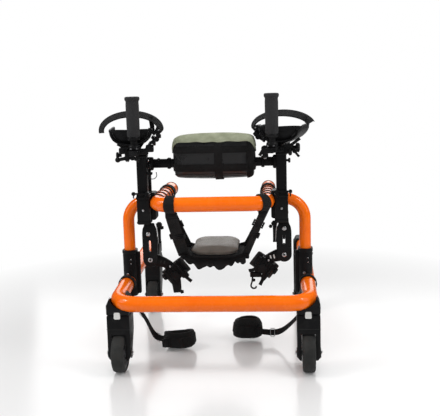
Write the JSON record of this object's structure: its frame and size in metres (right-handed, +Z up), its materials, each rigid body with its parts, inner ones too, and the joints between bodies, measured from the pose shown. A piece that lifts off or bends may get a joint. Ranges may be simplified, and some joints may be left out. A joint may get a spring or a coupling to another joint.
{
  "type": "front wheeled walker",
  "caption": "Child's wheeled walking frame on castors with chest pad, forearm troughs, hand grips, sling saddle, thigh guides and ankle straps.",
  "frame": {"origin": "floor, under the middle of the whole bounding box", "axes": "+Z up, -Y the way the child faces and walks, +X to the right of a viewer who looks at the walker's front"},
  "size_m": [0.5638, 0.6915, 0.696],
  "materials": {
    "orange_enamel": "glossy",
    "black_enamel": "satin",
    "black_plastic": "satin",
    "grey_plastic": "satin",
    "zinc_steel": "satin",
    "grey_rubber": "matte",
    "foam_rubber": "matte",
    "black_vinyl": "satin coated fabric",
    "taupe_fabric": "matte",
    "black_webbing": "woven"
  },
  "bodies": {
    "base": {"base_frame": "orange_enamel", "sleeve_left": "black_plastic", "sleeve_right": "black_plastic", "castor_socket_front_left": "black_plastic", "castor_socket_front_right": "black_plastic", "castor_socket_rear_left": "black_plastic", "castor_socket_rear_right": "black_plastic", "ankle_tether_left": "black_webbing", "ankle_tether_right": "black_webbing", "ankle_cuff_left": "black_webbing", "ankle_cuff_right": "black_webbing"},
    "upper": {"upper_frame": "orange_enamel", "upright_left": "orange_enamel", "upright_right": "orange_enamel", "post_clamp_left": "black_plastic", "post_clamp_right": "black_plastic", "thigh_plate_left": "black_enamel", "thigh_plate_right": "black_enamel", "saddle_pad": "taupe_fabric", "saddle_sling": "black_webbing", "saddle_strap_front_left": "black_webbing", "saddle_strap_front_right": "black_webbing", "saddle_strap_rear_left": "black_webbing", "saddle_strap_rear_right": "black_webbing"},
    "castor_front_left": {"fork_front_left": "black_plastic", "axle_front_left": "zinc_steel"},
    "wheel_front_left": {"tyre_front_left": "grey_rubber", "hub_front_left": "grey_plastic"},
    "castor_front_right": {"fork_front_right": "black_plastic", "axle_front_right": "zinc_steel"},
    "wheel_front_right": {"tyre_front_right": "grey_rubber", "hub_front_right": "grey_plastic"},
    "castor_rear_left": {"fork_rear_left": "black_plastic", "axle_rear_left": "zinc_steel"},
    "wheel_rear_left": {"tyre_rear_left": "grey_rubber", "hub_rear_left": "grey_plastic"},
    "castor_rear_right": {"fork_rear_right": "black_plastic", "axle_rear_right": "zinc_steel"},
    "wheel_rear_right": {"tyre_rear_right": "grey_rubber", "hub_rear_right": "grey_plastic"},
    "brake_left": {"brake_pedal_left": "black_plastic"},
    "post_left": {"arm_post_left": "black_enamel"},
    "arm_left": {"arm_rail_left": "black_enamel", "arm_trough_left": "black_vinyl", "forearm_strap_left": "black_webbing", "arm_knob_left": "black_plastic"},
    "grip_left": {"hand_grip_left": "foam_rubber"},
    "thigh_left": {"thigh_arm_left": "black_enamel", "thigh_pad_left": "black_vinyl"},
    "brake_right": {"brake_pedal_right": "black_plastic"},
    "post_right": {"arm_post_right": "black_enamel"},
    "arm_right": {"arm_rail_right": "black_enamel", "arm_trough_right": "black_vinyl", "forearm_strap_right": "black_webbing", "arm_knob_right": "black_plastic"},
    "grip_right": {"hand_grip_right": "foam_rubber"},
    "thigh_right": {"thigh_arm_right": "black_enamel", "thigh_pad_right": "black_vinyl"},
    "chest": {"chest_support_frame": "black_enamel", "chest_pad": "black_vinyl"}
  },
  "joints": [
    {"name": "frame_height", "type": "slide", "parent": "base", "child": "upper", "axis": [0, 0, 1], "range_m": [0, 0.045]},
    {"name": "swivel_front_left", "type": "hinge", "parent": "base", "child": "castor_front_left", "pos_m": [-0.2296, -0.2737, 0.15153], "axis": [0, 0, 1], "continuous": true},
    {"name": "spin_front_left", "type": "hinge", "parent": "castor_front_left", "child": "wheel_front_left", "pos_m": [-0.2296, -0.2957, 0.05], "axis": [1, 0, 0], "continuous": true},
    {"name": "swivel_front_right", "type": "hinge", "parent": "base", "child": "castor_front_right", "pos_m": [0.2494, -0.2737, 0.15153], "axis": [0, 0, 1], "continuous": true},
    {"name": "spin_front_right", "type": "hinge", "parent": "castor_front_right", "child": "wheel_front_right", "pos_m": [0.2494, -0.2957, 0.05], "axis": [1, 0, 0], "continuous": true},
    {"name": "swivel_rear_left", "type": "hinge", "parent": "base", "child": "castor_rear_left", "pos_m": [-0.2296, 0.2693, 0.18194], "axis": [0, 0, 1], "continuous": true},
    {"name": "spin_rear_left", "type": "hinge", "parent": "castor_rear_left", "child": "wheel_rear_left", "pos_m": [-0.2296, 0.2473, 0.05], "axis": [1, 0, 0], "continuous": true},
    {"name": "swivel_rear_right", "type": "hinge", "parent": "base", "child": "castor_rear_right", "pos_m": [0.2494, 0.2693, 0.18194], "axis": [0, 0, 1], "continuous": true},
    {"name": "spin_rear_right", "type": "hinge", "parent": "castor_rear_right", "child": "wheel_rear_right", "pos_m": [0.2494, 0.2473, 0.05], "axis": [1, 0, 0], "continuous": true},
    {"name": "brake_left", "type": "hinge", "parent": "castor_rear_left", "child": "brake_left", "pos_m": [-0.2296, 0.3058, 0.16254], "axis": [-1, 0, 0], "range_deg": [0, 3]},
    {"name": "arm_height_left", "type": "slide", "parent": "upper", "child": "post_left", "axis": [0, 0, 1], "range_m": [0, 0.05]},
    {"name": "arm_swivel_left", "type": "hinge", "parent": "post_left", "child": "arm_left", "pos_m": [-0.1681, -0.2117, 0.5505], "axis": [0, 0, 1], "range_deg": [-8, 25]},
    {"name": "grip_reach_left", "type": "slide", "parent": "arm_left", "child": "grip_left", "axis": [-0.1392, 0.9903, 0], "range_m": [-0.025, 0.013]},
    {"name": "thigh_swing_left", "type": "hinge", "parent": "upper", "child": "thigh_left", "pos_m": [-0.1581, -0.1997, 0.27], "axis": [0, 1, 0], "range_deg": [-10, 40]},
    {"name": "brake_right", "type": "hinge", "parent": "castor_rear_right", "child": "brake_right", "pos_m": [0.2494, 0.3058, 0.16254], "axis": [-1, 0, 0], "range_deg": [0, 3]},
    {"name": "arm_height_right", "type": "slide", "parent": "upper", "child": "post_right", "axis": [0, 0, 1], "range_m": [0, 0.05]},
    {"name": "arm_swivel_right", "type": "hinge", "parent": "post_right", "child": "arm_right", "pos_m": [0.1879, -0.2117, 0.5505], "axis": [0, 0, 1], "range_deg": [-25, 3]},
    {"name": "grip_reach_right", "type": "slide", "parent": "arm_right", "child": "grip_right", "axis": [0.1908, 0.9816, 0], "range_m": [-0.025, 0.013]},
    {"name": "thigh_swing_right", "type": "hinge", "parent": "upper", "child": "thigh_right", "pos_m": [0.1919, -0.1997, 0.281], "axis": [0, -1, 0], "range_deg": [-10, 40]},
    {"name": "chest_height", "type": "slide", "parent": "upper", "child": "chest", "axis": [0, 0, 1], "range_m": [-0.024, 0.004]}
  ]
}
